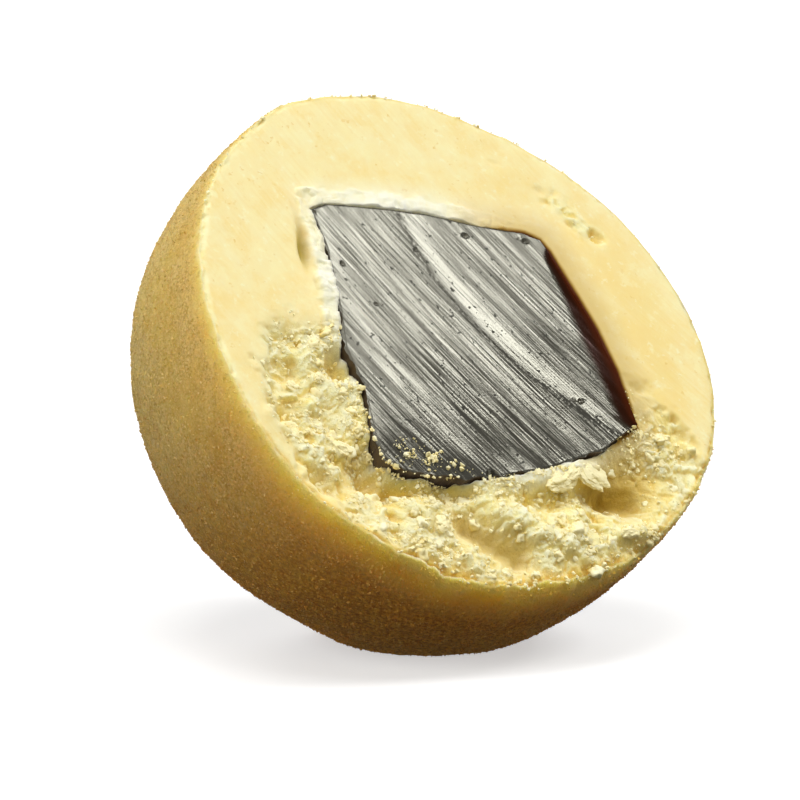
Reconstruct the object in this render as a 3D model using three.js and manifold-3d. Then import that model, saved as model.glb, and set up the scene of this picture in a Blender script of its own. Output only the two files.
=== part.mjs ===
// A chocolate-coated licorice ball, cut open with a knife and standing on its round side.
// The knife left a smooth cut above and to the right. Below and to the left the chocolate tore and crumbled.
// Millimetres, +Z up, the viewer towards -Y.
// The origin is the middle of the small flat spot that the ball rests on.
import * as THREE from "three";
import { mergeVertices } from "three/addons/utils/BufferGeometryUtils.js";
import Module from "manifold-3d";

// The ball and the cut through it
const BALL_RADIUS = 11.5;
const REST_DEPTH = 0.44; // how much of the ball's underside the flat spot takes away
const REST_SHIFT = [0.36, -0.77]; // from the flat spot's middle to the point under the ball's centre
const CUT_OFFSET = 2.2; // from the ball's centre out to the knife's plane
const CUT_TURN = 37.4; // degrees that the cut faces to the viewer's right
const CUT_RISE = 39.85; // degrees that the cut faces up

// Swells and dents of the uneven ball: clock is degrees round the cut, from its right and over its top,
// and tilt is degrees away from the direction that the cut faces.
const LUMPS = [
  { clock: 342, tilt: 80, spread: 38, height: 0.42 }, // full right shoulder
  { clock: 170, tilt: 80, spread: 28, height: -0.3 }, // flat left shoulder
  { clock: 55, tilt: 80, spread: 24, height: -0.34 }, // flat top
  { clock: 104, tilt: 82, spread: 10, height: 0.2 }, // corner at the upper left
  { clock: 145, tilt: 112, spread: 20, height: 0.2 }, // left cheek
  { clock: 233, tilt: 133, spread: 20, height: -0.26 }, // dent low on the left
  { clock: 297, tilt: 96, spread: 20, height: -0.28 }, // dent low on the right
  { clock: 270, tilt: 148, spread: 18, height: 0.66 }, // full underside behind the flat spot's front edge
  { clock: 60, tilt: 140, spread: 26, height: -0.14 }, // slight flat behind
];

// The licorice core: sides that meet in soft corners, the lower side slightly bent.
// Each side is the direction it faces on the cut and its distance from the cut's middle.
const CORE_SIDES = [
  { clock: 75, reach: 5.65 },
  { clock: 3, reach: 6.85 },
  { clock: 287, reach: 7.3 },
  { clock: 263, reach: 6.65 },
  { clock: 165, reach: 5.15 },
];
const CORE_SQUARENESS = 10; // a higher power gives sharper corners
const CORE_DEPTH = 7.6; // from the knife's plane to its rounded inner end
const CORE_END_SQUARENESS = 4;
const CORE_EDGE_ROLL = 0.22; // how far the cut bends down at the core's right side
const CORE_EDGE_WIDTH = 0.8;
const FIT_GAP = 0.2; // between the core and the chocolate round it
const MOUTH_DEPTH = 1.6; // where the wall round the core begins, below the deepest hollow beside it

// The torn part of the cut: the bearings it spans, how far out it reaches on each, and how rough it is
const TORN_FROM = 166;
const TORN_TO = 338;
const TORN_FADE = 9; // degrees over which it fades in and out at those bearings
const TORN_REACH = [
  [0, 8.4],
  [172, 8.4],
  [186, 9.7],
  [200, 10.3],
  [210, 10.8],
  [234, 11.0],
  [244, 12.4],
  [314, 12.4],
  [326, 10.8],
  [334, 9.2],
  [360, 8.4],
];
const TORN_SOFTNESS = 0.7; // width of the step from the smooth cut down to the torn part
const TORN_DEPTH = 0.38;
const LEDGE_SHARE = 0.3; // how much of that depth is left right beside the core
const LEDGE_WIDTH = 1.3;
const CRAG_HEIGHT = 0.55;
const CRAG_SIZE = 1.5;
const FINE_CRAG_SHIFT = [17, 5]; // keeps the fine crags out of step with the coarse ones
const RIM_FALL = 0.3; // how far the lip at the lower left sags below the knife's plane
const RIM_FALL_CLOCK = 218;
const RIM_FALL_SPREAD = 28;

// Single hollows (negative) and ridges (positive) on the cut, each a rounded stroke between two places.
// A place is millimetres across and up the cut from its middle.
const FEATURES = [
  { from: [-9.1, -2.2], to: [-8.2, -0.6], radius: 0.6, height: -0.4 }, // hollow beside the left lip
  { from: [-7.4, 0.0], to: [-6.6, 0.1], radius: 0.5, height: 0.25 }, // crumbled ledge above it
  { from: [-7.2, -2.4], to: [-7.2, -3.3], radius: 0.55, height: -0.3 }, // hollow nearer the core
  { from: [-6.0, -0.6], to: [-5.9, -1.0], radius: 0.4, height: -0.7 }, // hole against the core's left side
  { from: [-8.9, -5.5], to: [-7.9, -5.7], radius: 0.6, height: -0.45 }, // hollow at the lower left
  { from: [-7.0, -5.2], to: [-6.4, -6.4], radius: 0.55, height: -0.5 }, // gap round the core's corner
  { from: [-4.6, -8.4], to: [-4.3, -9.2], radius: 0.5, height: -0.3 }, // notch below the core
  { from: [-3.1, -8.2], to: [-1.5, -9.9], radius: 0.75, height: -0.6 }, // long hollow below the core
  { from: [-2.2, -7.4], to: [0.4, -9.6], radius: 0.7, height: 0.35 }, // broad ridge beside that hollow
  { from: [-0.1, -7.6], to: [1.6, -7.8], radius: 0.5, height: -0.35 }, // trough under the core
  { from: [0.9, -6.9], to: [2.2, -6.8], radius: 0.45, height: 0.3 }, // ledge on the core's lower edge
  { from: [2.8, -6.7], to: [3.8, -6.8], radius: 0.45, height: 0.45 }, // flake over the scoop
  { from: [3.1, -7.5], to: [3.9, -8.0], radius: 0.5, height: -0.35 }, // deep end of the scoop
  { from: [4.4, -7.8], to: [5.6, -6.6], radius: 1.2, height: -0.7 }, // smooth scoop at the lower right
  { from: [3.5, -9.65], to: [4.4, -9.65], radius: 0.35, height: 0.4 }, // lump near the rim
  { from: [8.25, 5.2], to: [8.85, 3.6], radius: 0.4, height: -0.28 }, // tear at the upper right
];

// Mesh steps
const COATING_SEGMENTS = 144;
const OUTSIDE_ROWS = 13;
const CUT_ROWS = 17;
const CAVITY_ROWS = 5;
const CORE_SEGMENTS = 72;
const CORE_FACE_ROWS = 5;
const CORE_SIDE_ROWS = 8;
const RIM_PASSES = 6;
const MERGE_DISTANCE = 1e-4;

const COATING_MATERIAL = new THREE.MeshStandardMaterial({ color: 0xf4dfa2, roughness: 0.6, metalness: 0 });
const CORE_MATERIAL = new THREE.MeshStandardMaterial({ color: 0x2b2522, roughness: 0.35, metalness: 0 });

const wasm = await Module();
wasm.setup();

const radians = THREE.MathUtils.degToRad;
const HALF_TURN = Math.PI;
const FULL_TURN = 2 * Math.PI;

// The smallest turn between two bearings, in degrees
function bearingGap(a, b) {
  return Math.abs(THREE.MathUtils.euclideanModulo(a - b + 180, 360) - 180);
}

function clockOf(across, up) {
  return THREE.MathUtils.euclideanModulo(THREE.MathUtils.radToDeg(Math.atan2(up, across)), 360);
}

// A bell curve that is 1 in the middle and fades out past its spread
function bell(distance, spread) {
  return Math.exp(-((distance / spread) ** 2));
}

// Smooth seeded noise from 0 to 1 over the plane, with one value on each whole-number place
function latticeValue(i, j) {
  let h = Math.imul(i, 374761393) + Math.imul(j, 668265263) + 40503;
  h = Math.imul(h ^ (h >>> 13), 1274126177);
  return ((h ^ (h >>> 16)) >>> 0) / 2 ** 32;
}

function noise(x, y) {
  const i = Math.floor(x);
  const j = Math.floor(y);
  const s = THREE.MathUtils.smoothstep(x - i, 0, 1);
  const t = THREE.MathUtils.smoothstep(y - j, 0, 1);
  const low = THREE.MathUtils.lerp(latticeValue(i, j), latticeValue(i + 1, j), s);
  const high = THREE.MathUtils.lerp(latticeValue(i, j + 1), latticeValue(i + 1, j + 1), s);
  return THREE.MathUtils.lerp(low, high, t);
}

// A direction from the ball's centre, in the cut's own axes: across, up and out of the cut
function direction(clock, tilt) {
  const side = Math.sin(tilt);
  return new THREE.Vector3(side * Math.cos(clock), side * Math.sin(clock), Math.cos(tilt));
}

const LUMP_DIRECTIONS = LUMPS.map((lump) => direction(radians(lump.clock), radians(lump.tilt)));

function ballRadius(towards) {
  const angle = (i) => THREE.MathUtils.radToDeg(towards.angleTo(LUMP_DIRECTIONS[i]));
  return LUMPS.reduce((sum, lump, i) => sum + lump.height * bell(angle(i), lump.spread), BALL_RADIUS);
}

function outsidePoint(clock, tilt) {
  const towards = direction(clock, tilt);
  const point = towards.multiplyScalar(ballRadius(towards));
  point.z -= CUT_OFFSET;
  return point;
}

const FEATURE_STROKES = FEATURES.map(({ from, to, radius, height }) => {
  const stroke = new THREE.Line3(new THREE.Vector3(...from, 0), new THREE.Vector3(...to, 0));
  return { stroke, radius, height };
});

// How far the torn part reaches on a bearing, by straight steps between the listed bearings
function tornReach(clock) {
  const next = TORN_REACH.findIndex(([bearing]) => bearing >= clock);
  if (next < 1) return TORN_REACH[0][1];
  const [from, near] = TORN_REACH[next - 1];
  const [to, far] = TORN_REACH[next];
  return THREE.MathUtils.mapLinear(clock, from, to, near, far);
}

// The height of the chocolate's cut surface over the knife's plane
function cutHeight(across, up) {
  const clock = clockOf(across, up);
  const radius = Math.hypot(across, up);
  const begun = THREE.MathUtils.smoothstep(clock, TORN_FROM, TORN_FROM + TORN_FADE);
  const ended = THREE.MathUtils.smoothstep(clock, TORN_TO - TORN_FADE, TORN_TO);
  const inside = THREE.MathUtils.smoothstep(tornReach(clock) - radius, -TORN_SOFTNESS / 2, TORN_SOFTNESS / 2);
  const torn = begun * (1 - ended) * inside;
  const beside = THREE.MathUtils.smoothstep(radius - coreReach(radians(clock)), 0, LEDGE_WIDTH);
  const share = torn * THREE.MathUtils.lerp(LEDGE_SHARE, 1, beside);
  const coarse = noise(across / CRAG_SIZE, up / CRAG_SIZE) - 0.5;
  const [fineAcross, fineUp] = FINE_CRAG_SHIFT;
  const fine = noise((2 * across) / CRAG_SIZE + fineAcross, (2 * up) / CRAG_SIZE + fineUp) - 0.5;
  const lowLeft = bell(bearingGap(clock, RIM_FALL_CLOCK), RIM_FALL_SPREAD);
  const sag = RIM_FALL * lowLeft * (radius / BALL_RADIUS) ** 4;
  const place = new THREE.Vector3(across, up, 0);
  const single = FEATURE_STROKES.reduce((sum, { stroke, radius, height }) => {
    const nearest = stroke.closestPointToPoint(place, true, new THREE.Vector3());
    return sum + height * bell(nearest.distanceTo(place), radius);
  }, 0);
  return share * (CRAG_HEIGHT * (coarse + fine / 2) - TORN_DEPTH) - sag + single;
}

// The tilt at which the ball's outside meets the cut surface, found by a few passes
function rimTilt(clock) {
  let tilt = Math.acos(CUT_OFFSET / BALL_RADIUS);
  for (let pass = 0; pass < RIM_PASSES; pass++) {
    const rim = outsidePoint(clock, tilt);
    const level = CUT_OFFSET + cutHeight(rim.x, rim.y);
    tilt = Math.acos(level / ballRadius(direction(clock, tilt)));
  }
  return tilt;
}

// The core's outline on the cut: the soft meeting of its sides
function coreReach(clock) {
  const nearness = CORE_SIDES.map((side) => Math.max(0, Math.cos(clock - radians(side.clock))) / side.reach);
  return nearness.reduce((sum, n) => sum + n ** CORE_SQUARENESS, 0) ** (-1 / CORE_SQUARENESS);
}

function coreHeight(across, up) {
  const clock = Math.atan2(up, across);
  const inset = coreReach(clock) - Math.hypot(across, up);
  const rightward = Math.max(0, Math.cos(clock));
  return -CORE_EDGE_ROLL * rightward * (1 - THREE.MathUtils.smoothstep(inset, 0, CORE_EDGE_WIDTH));
}

// A point on the core's side or inner end, grown by a gap.
// Its turn runs from 0 at the mouth to a quarter turn at the end.
function coreSidePoint(clock, turn, gap) {
  const share = Math.cos(turn) ** (2 / CORE_END_SQUARENESS);
  const depth = (CORE_DEPTH + gap) * Math.sin(turn) ** (2 / CORE_END_SQUARENESS);
  const reach = (coreReach(clock) + gap) * share;
  return new THREE.Vector3(reach * Math.cos(clock), reach * Math.sin(clock), -depth);
}

// Puts the rings of a lathe where a list of rows says. Each row gives a ring's point for a bearing,
// and the first and last rows are single points on the axis.
function ringSolid(rows, segments) {
  const profile = rows.map((_, i) => new THREE.Vector2(i === 0 || i === rows.length - 1 ? 0 : 1, i));
  const lathe = new THREE.LatheGeometry(profile, segments);
  const position = lathe.getAttribute("position");
  for (let k = 0; k < position.count; k++) {
    const row = k % rows.length;
    const step = Math.floor(k / rows.length) % segments;
    const point = rows[row]((step / segments) * FULL_TURN);
    position.setXYZ(k, point.x, point.y, point.z);
  }
  lathe.deleteAttribute("normal");
  lathe.deleteAttribute("uv");
  return lathe;
}

const spread = (count, row) => Array.from({ length: count }, (_, i) => row((i + 1) / count));

const CAVITY_START = Math.asin((MOUTH_DEPTH / CORE_DEPTH) ** (CORE_END_SQUARENESS / 2));

function coatingRows() {
  const tipTilt = HALF_TURN;
  const outside = spread(OUTSIDE_ROWS, (share) => (clock) => {
    return outsidePoint(clock, THREE.MathUtils.lerp(tipTilt, rimTilt(clock), share));
  });
  const cut = spread(CUT_ROWS, (share) => (clock) => {
    const rim = outsidePoint(clock, rimTilt(clock));
    const reach = THREE.MathUtils.lerp(Math.hypot(rim.x, rim.y), coreReach(clock) + FIT_GAP, share);
    const point = new THREE.Vector3(reach * Math.cos(clock), reach * Math.sin(clock), 0);
    point.z = cutHeight(point.x, point.y);
    return point;
  });
  const cavity = spread(CAVITY_ROWS, (share) => (clock) => {
    const turn = THREE.MathUtils.lerp(CAVITY_START, HALF_TURN / 2, share);
    return coreSidePoint(clock, turn, FIT_GAP);
  });
  return [() => outsidePoint(0, tipTilt), ...outside, ...cut, ...cavity];
}

function coreRows() {
  const side = spread(CORE_SIDE_ROWS, (share) => (clock) => {
    return coreSidePoint(clock, (1 - share) * (HALF_TURN / 2), 0);
  });
  side[side.length - 1] = (clock) => corePlace(clock, 1);
  const face = spread(CORE_FACE_ROWS, (share) => (clock) => corePlace(clock, 1 - share));
  return [() => coreSidePoint(0, HALF_TURN / 2, 0), ...side, ...face];
}

function corePlace(clock, share) {
  const reach = coreReach(clock) * share;
  const point = new THREE.Vector3(reach * Math.cos(clock), reach * Math.sin(clock), 0);
  point.z = coreHeight(point.x, point.y);
  return point;
}

function solidFrom(geometry) {
  const merged = mergeVertices(geometry, MERGE_DISTANCE);
  const mesh = new wasm.Mesh({
    numProp: 3,
    vertProperties: new Float32Array(merged.getAttribute("position").array),
    triVerts: new Uint32Array(merged.index.array),
  });
  return new wasm.Manifold(mesh);
}

function geometryFrom(solid) {
  const mesh = solid.getMesh();
  const geometry = new THREE.BufferGeometry();
  geometry.setAttribute("position", new THREE.BufferAttribute(new Float32Array(mesh.vertProperties), 3));
  geometry.setIndex(new THREE.BufferAttribute(new Uint32Array(mesh.triVerts), 1));
  geometry.computeVertexNormals();
  return geometry;
}

// The cut's own axes, in the part's frame
function cutFrame() {
  const turn = radians(CUT_TURN);
  const rise = radians(CUT_RISE);
  const out = new THREE.Vector3(
    Math.sin(turn) * Math.cos(rise),
    -Math.cos(turn) * Math.cos(rise),
    Math.sin(rise),
  );
  const across = new THREE.Vector3(0, 0, 1).cross(out).normalize();
  const up = out.clone().cross(across);
  const frame = new THREE.Group();
  frame.quaternion.setFromRotationMatrix(new THREE.Matrix4().makeBasis(across, up, out));
  frame.position.set(...REST_SHIFT, BALL_RADIUS - REST_DEPTH).addScaledVector(out, CUT_OFFSET);
  frame.updateMatrix();
  return frame;
}

function chocolateCoating(frame) {
  const ball = solidFrom(ringSolid(coatingRows(), COATING_SEGMENTS));
  const size = 4 * BALL_RADIUS;
  const ground = new THREE.BoxGeometry(size, size, size).translate(0, 0, -size / 2);
  ground.deleteAttribute("normal");
  ground.deleteAttribute("uv");
  ground.applyMatrix4(frame.matrix.clone().invert());
  const mesh = new THREE.Mesh(geometryFrom(ball.subtract(solidFrom(ground))), COATING_MATERIAL);
  mesh.name = "chocolate_coating";
  return mesh;
}

function licoriceCore() {
  const mesh = new THREE.Mesh(geometryFrom(solidFrom(ringSolid(coreRows(), CORE_SEGMENTS))), CORE_MATERIAL);
  mesh.name = "licorice_core";
  return mesh;
}

const sweet = new THREE.Group();
const cut = cutFrame();
cut.add(chocolateCoating(cut), licoriceCore());
sweet.add(cut);

export default sweet;
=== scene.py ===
"""A ball of licorice in chocolate, cut open with a knife, in a plain studio."""
import math

import bpy
import numpy as np
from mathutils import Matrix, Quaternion, Vector


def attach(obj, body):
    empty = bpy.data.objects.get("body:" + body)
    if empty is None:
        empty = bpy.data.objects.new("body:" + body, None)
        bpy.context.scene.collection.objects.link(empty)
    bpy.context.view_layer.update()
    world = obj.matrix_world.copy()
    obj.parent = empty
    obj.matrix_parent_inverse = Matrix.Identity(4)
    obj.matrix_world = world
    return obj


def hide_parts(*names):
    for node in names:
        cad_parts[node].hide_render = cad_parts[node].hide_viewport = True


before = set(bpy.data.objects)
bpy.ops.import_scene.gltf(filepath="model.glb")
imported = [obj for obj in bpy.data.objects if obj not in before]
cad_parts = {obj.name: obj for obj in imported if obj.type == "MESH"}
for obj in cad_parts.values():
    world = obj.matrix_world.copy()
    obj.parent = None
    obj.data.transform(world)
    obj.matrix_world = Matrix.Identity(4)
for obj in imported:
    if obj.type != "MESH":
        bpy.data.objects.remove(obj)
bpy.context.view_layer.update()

scene = bpy.context.scene
MM = 0.001
SEED = 7

# Sizes are in millimetres and degrees. A place on the cut is its distance across and up from the middle,
# and a clock is a direction from there, counterclockwise from the right.

# The ball and the cut, as in the solids, and the core
BALL_RADIUS = 11.5
BALL_CENTRE = np.array([0.36, -0.77, 11.06])
CUT_OFFSET = 2.2
CUT_TURN = 37.4
CUT_RISE = 39.85
# bumps and dents of the ball: clock, tilt from the cut's axis, spread, height
LUMPS = np.array([
    (342, 80, 38, 0.42), (170, 80, 28, -0.3), (55, 80, 24, -0.34), (104, 82, 10, 0.2),
    (145, 112, 20, 0.2), (233, 133, 20, -0.26), (297, 96, 20, -0.28), (270, 148, 18, 0.66),
    (60, 140, 26, -0.14),
])
# corners and bends of the core's edge, counterclockwise from the right
CORE_EDGE = np.array([
    (6.75, -0.5), (6.45, 1.9), (6.25, 3.1), (6.05, 3.7), (5.4, 4.12), (3.5, 4.67), (1.3, 5.45),
    (-0.9, 5.95), (-3.25, 6.37), (-4.07, 6.22), (-4.14, 4.54), (-4.86, 1.6), (-5.45, -0.1),
    (-5.4, -1.8), (-5.95, -4.1), (-5.95, -5.1), (-5.3, -5.75), (-4.4, -6.1), (-2.5, -6.5),
    (1.2, -6.48), (4.46, -5.95), (6.6, -5.0), (6.79, -2.7),
])
CORE_RADIUS = 6
CORE_DEPTH = 7.6
CORE_END_SQUARENESS = 4

# The tear along the lower side of the cut: its clocks, and how far out it reaches at each
TORN_FROM, TORN_TO, TORN_FADE = 163, 340, 14
TORN_REACH = np.array([
    (0, 8.4), (172, 8.4), (186, 9.7), (200, 10.3), (210, 10.8), (234, 11.0), (244, 12.4), (314, 12.4),
    (326, 10.8), (334, 9.2), (360, 8.4),
])
TORN_SOFTNESS = 1.0
TORN_DEPTH = 0.38
LEDGE_SHARE, LEDGE_WIDTH = 0.3, 1.3
# strokes on the cut: from, to, radius, height
FEATURES = (
    ((-9.1, -2.2), (-8.2, -0.6), 0.6, -0.4), ((-7.4, 0.0), (-6.6, 0.1), 0.5, 0.25),
    ((-7.2, -2.4), (-7.2, -3.3), 0.55, -0.3), ((-6.0, -0.6), (-5.9, -1.0), 0.4, -0.7),
    ((-8.9, -5.5), (-7.9, -5.7), 0.6, -0.45), ((-7.0, -5.2), (-6.4, -6.4), 0.55, -0.5),
    ((-4.6, -8.4), (-4.3, -9.2), 0.5, -0.3), ((-3.1, -8.2), (-1.5, -9.9), 0.75, -0.6),
    ((-2.2, -7.4), (0.4, -9.6), 0.7, 0.35), ((-0.1, -7.6), (1.6, -7.8), 0.5, -0.35),
    ((0.9, -6.9), (2.2, -6.8), 0.45, 0.3), ((2.8, -6.7), (3.8, -6.8), 0.45, 0.45),
    ((3.1, -7.5), (3.9, -8.0), 0.5, -0.35), ((4.4, -7.8), (5.6, -6.6), 1.2, -0.7),
    ((3.5, -9.65), (4.4, -9.65), 0.35, 0.4),
)
# finer strokes that only the dressed surface has
FINE_FEATURES = (
    ((-8.7, -1.6), (-8.0, -2.1), 0.25, 0.28), ((-8.3, -2.0), (-7.4, -1.5), 0.25, -0.25),
    ((-9.9, -2.5), (-9.2, -3.6), 0.35, 0.18), ((-8.0, -2.7), (-8.0, -2.9), 0.2, -0.2),
    ((-7.8, -4.5), (-7.7, -4.7), 0.2, -0.2), ((-9.5, -5.2), (-9.3, -5.6), 0.25, 0.2),
    ((-6.4, -7.2), (-6.2, -7.3), 0.2, -0.25), ((-5.4, -7.5), (-5.2, -7.5), 0.22, -0.25),
    ((2.7, -8.6), (2.9, -8.7), 0.18, -0.3), ((2.6, -9.2), (2.8, -9.3), 0.15, -0.25),
    ((7.0, -6.1), (7.3, -6.0), 0.2, -0.2), ((7.15, 6.1), (7.25, 6.0), 0.22, -0.12),
    ((5.5, 7.6), (5.7, 7.5), 0.14, -0.1), ((-6.45, -4.5), (-6.35, -5.4), 0.4, -0.75),
    ((-5.7, -6.2), (-2.3, -6.95), 0.32, -0.7), ((-5.8, -0.6), (-5.75, -1.0), 0.25, -0.5),
    ((4.2, -7.4), (5.0, -8.1), 0.55, -0.6),
)
# smooth, clear places of the tear: from, to, reach, how clear
SMOOTH_SPOTS = (((4.0, -7.4), (5.4, -7.4), 0.8, 1.0), ((-3.1, -8.3), (-1.4, -9.8), 0.4, 0.5))
# crumbly stretches of the tear: from, to, reach
CRUMBLY = (
    ((-7.9, 0.6), (-5.6, 0.5), 0.9), ((-6.8, 0.4), (-6.2, -0.4), 0.6), ((-9.8, -2.4), (-7.9, -3.1), 0.5),
    ((-7.9, -3.1), (-6.6, -4.7), 0.7), ((-6.0, -1.6), (-6.3, -4.4), 0.5), ((-6.8, -6.2), (-2.6, -7.1), 0.4),
    ((-5.0, -7.6), (-3.5, -8.0), 0.5), ((-8.4, -7.2), (-3.2, -10.0), 0.6), ((1.2, -8.8), (1.8, -10.0), 0.5),
    ((0.6, -7.4), (2.6, -7.6), 0.45), ((7.2, -5.6), (8.4, -6.6), 0.5), ((-2.4, -6.9), (2.4, -6.8), 0.3),
)
# broken chocolate from clods to grains: size, height, noise number
CRUMBLE_LAYERS = ((1.0, 0.26, 51), (0.55, 0.24, 61), (0.28, 0.16, 71), (0.15, 0.09, 81))
# the small tear at the right
TEAR_FROM, TEAR_TO, TEAR_REACH, TEAR_DEPTH = (7.75, 5.35), (8.85, 3.6), 0.36, 0.24

# Places round the cut: clock, and how far the place spreads to each side
SAGGING_RIM, RIM_SAG = (218, 28), 0.3
BROAD_RIM, RIM_WIDTH, BROAD_RIM_EXTRA = (266, 48), 0.2, 0.55
LOW_FRONT = (252, 58)
LEFT_RIM = (158, 55)
TOP_RIM = (85, 55)
TOP_LIP, TOP_LIP_HEIGHT = (88, 46), 0.08
LEFT_LIP, LEFT_LIP_HEIGHT = (150, 26), 0.15
ABOVE_CORE = (92, 50)
BELOW_CORE = (287, 24)
# and how far from the core the groove is
GROOVE, GROOVE_INSET, GROOVE_WIDTH, GROOVE_DEPTH = (138.5, 7.5), 1.12, 0.22, 0.42
# the dip at the core's right edge
MOUTH_DROP, MOUTH_DROP_WIDTH = 0.05, 0.15
# heights over the floor between which the outside darkens: partly brown dust, partly painted shade
LOW_BEGINS, LOW_ENDS = 11.0, 1.5
TEETH_WIDTH = 0.16

# The licorice
# the knife's drag marks and their broader swaths: across per step down at the middle, and how that grows
# to the right and upwards
DRAG_MARKS = (0.4937, 0.0106, -0.0106)
DRAG_SWATHS = (0.4227, 0.0555, -0.0755)
LICORICE_LIFT = 0.04
LICORICE_GAP = 0.02
# where its right edge is clear, and how far the edge falls there
ROLL_CLOCK, ROLL_REACH, ROLL_FADE, ROLL_DEPTH = 354, 36, 6, 0.07
# the worn edge elsewhere
WORN_DEPTH, WORN_WIDTH = 0.05, 0.08
# the slight saddle shape of its face, in millimetres per square millimetre
WARP_UP, WARP_DOWN, WARP_LEFT, WARP_RIGHT = 0.006, 0.005, 0.003, 0.004
# the darker lower left corner: from, to, reach
DARK_CORNER = ((-5.2, -4.6), (-2.4, -6.2), 1.0)
# pits: place, radius, depth
PITS = (
    ((-3.74, 3.61), 0.08, 0.08), ((2.62, 4.3), 0.14, 0.1), ((2.25, 4.42), 0.1, 0.04),
    ((5.36, 3.75), 0.15, 0.1), ((5.1, 3.86), 0.08, 0.05), ((-0.05, 3.88), 0.08, 0.07),
    ((4.35, -3.71), 0.11, 0.07), ((4.05, -3.6), 0.07, 0.05), ((-1.37, -6.35), 0.22, 0.3),
    ((-3.1, 1.64), 0.09, 0.05), ((-4.00, 6.05), 0.08, 0.1),
)

# Crumbs and powder
# places tried, the chance of each, and the most that are kept
TORN_TRIES, TORN_CHANCE = 90000, 0.2
CLOD_TRIES, CLOD_CHANCE, CLOD_LIMIT = 20000, 0.3, 500
POWDER_TRIES = 48000
RIM_COUNT, TOP_COUNT, TEAR_COUNT, STRAY_COUNT, SEAM_COUNT = 150, 60, 40, 130, 500
# the clocks and radii that they lie between, and the powder's least tilt from the cut's axis
TORN_SPAN, CLOD_SPAN, RIM_SPAN = (163, 335), (165, 338), (205, 340)
TOP_SPAN, SEAM_SPAN = (35, 145), (196, 322)
TORN_INNER, TORN_OUTER, CLOD_OUTER = 5.0, 11.1, 11.2
POWDER_TILT = 78
# radius: smallest, how much more it can be, and how rare that is
TORN_SIZE, CLOD_SIZE, POWDER_SIZE = (0.02, 0.11, 4), (0.07, 0.2, 2.5), (0.034, 0.046, 2)
RIM_SIZE, TOP_SIZE, TEAR_SIZE = (0.02, 0.06, 3), (0.025, 0.07, 3), (0.02, 0.08, 3)
STRAY_SIZE, SEAM_SIZE = (0.024, 0.1, 4), (0.03, 0.1, 3)
# how deep they sit, as shares of their radius
CRUMB_SINK, CLOD_SINK, RIM_SINK = 0.45, 0.4, 0.6
# where crumbs fell on the licorice: place, spread, share of them
STRAY_SPOTS = (
    ((-4.5, -5.1), 0.45, 0.42), ((-3.8, -5.6), 0.4, 0.33), ((-5.0, -4.6), 0.35, 0.13),
    ((-2.9, -6.1), 0.5, 0.12),
)
# larger crumbs: place, lift, half length, width and height, turn, lean
CHUNKS = (
    ((3.45, -6.95), 0.15, (0.8, 0.6, 0.2), -20, 0.35), ((1.75, -7.0), 0.0, (0.75, 0.42, 0.22), 10, 0.1),
    ((2.5, -6.75), 0.05, (0.5, 0.28, 0.2), 20, 0.0), ((3.8, -9.66), 0.05, (0.44, 0.22, 0.2), -4, 0.0),
    ((-8.15, -1.3), 0.05, (0.34, 0.22, 0.14), -30, 0.2), ((-7.0, -1.15), 0.05, (0.3, 0.24, 0.14), 30, 0.2),
    ((-4.3, -7.95), 0.05, (0.36, 0.32, 0.2), 50, 0.0), ((-7.2, -4.2), -0.05, (0.4, 0.28, 0.2), -40, 0.0),
    ((-8.9, -2.9), -0.05, (0.4, 0.26, 0.2), -25, 0.0),
)
CHUNK_NOISE, CHUNK_TONE = 161, 0.65

# Mesh steps
# stretches of the coating's clock and the steps in each
CLOCK_STEPS = ((116, 345, 690), (345, 375, 18), (375, 412, 72), (412, 476, 44))
OUTSIDE_ROWS, CUT_ROWS = 36, 77
# how much the rows of the outside crowd towards the rim
OUTSIDE_CROWDING = 1.6
# rows of the hole, as angles in radians, and how much larger than the core it is
HOLE_ANGLES = (0.02, 0.12, 0.3, 0.6, 1.0, 1.35, 1.55)
HOLE_WIDER, HOLE_DEEPER = 0.1, 0.15
LICORICE_STEPS, LICORICE_ROWS, LICORICE_SIDE_ROWS = 500, 110, 26
# how close the rings are at the licorice's crisp edge, and the depths of those below it
EDGE_RING = 0.004
EDGE_DEPTHS = (0.9, 0.5, 0.25, 0.1, EDGE_RING)

# Linear colours of the dusted outside
AMBER, AMBER_DEEP = (0.96, 0.63, 0.09), (0.88, 0.53, 0.07)
# the lighter amber just under the rim is a painted glow of light through the rim
AMBER_SIDE, AMBER_RIM_GLOW = (0.9, 0.64, 0.2), (0.95, 0.7, 0.14)
POWDER_DARK, POWDER_LIGHT, POWDER_GOLD = (0.6, 0.39, 0.095), (0.86, 0.635, 0.225), (0.74, 0.49, 0.1)
BARE = (0.52, 0.24, 0.04)
# the browns underneath and the grains' colour low down are partly brown dust, partly painted shade
UNDER_DARK, UNDER_LIGHT = (0.48, 0.17, 0.014), (0.8, 0.37, 0.045)
GRAIN_DARK, GRAIN_LIGHT, GRAIN_LOW = (0.42, 0.24, 0.05), (0.94, 0.75, 0.35), (0.82, 0.5, 0.12)
# the rim's gold at the low front is a painted glow of light through the rim
RIM_LIGHT, RIM_GOLD_GLOW = (0.98, 0.9, 0.56), (0.8, 0.58, 0.12)
# of the smooth cut
# the cut is painted darker and yellower towards the right: painted shade
CREAM_LEFT, CREAM_RIGHT, CREAM_CLOUD = (0.945, 0.81, 0.43), (0.89, 0.725, 0.31), (0.92, 0.71, 0.28)
MOTTLE_LIGHT, MOTTLE_DARK = (0.965, 0.87, 0.51), (0.9, 0.7, 0.27)
FLECK, SMEAR, PORE = (0.985, 0.92, 0.64), (0.965, 0.87, 0.56), (0.78, 0.54, 0.15)
KNIFE_LIGHT, KNIFE_DARK = (0.975, 0.88, 0.53), (0.88, 0.68, 0.25)
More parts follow.
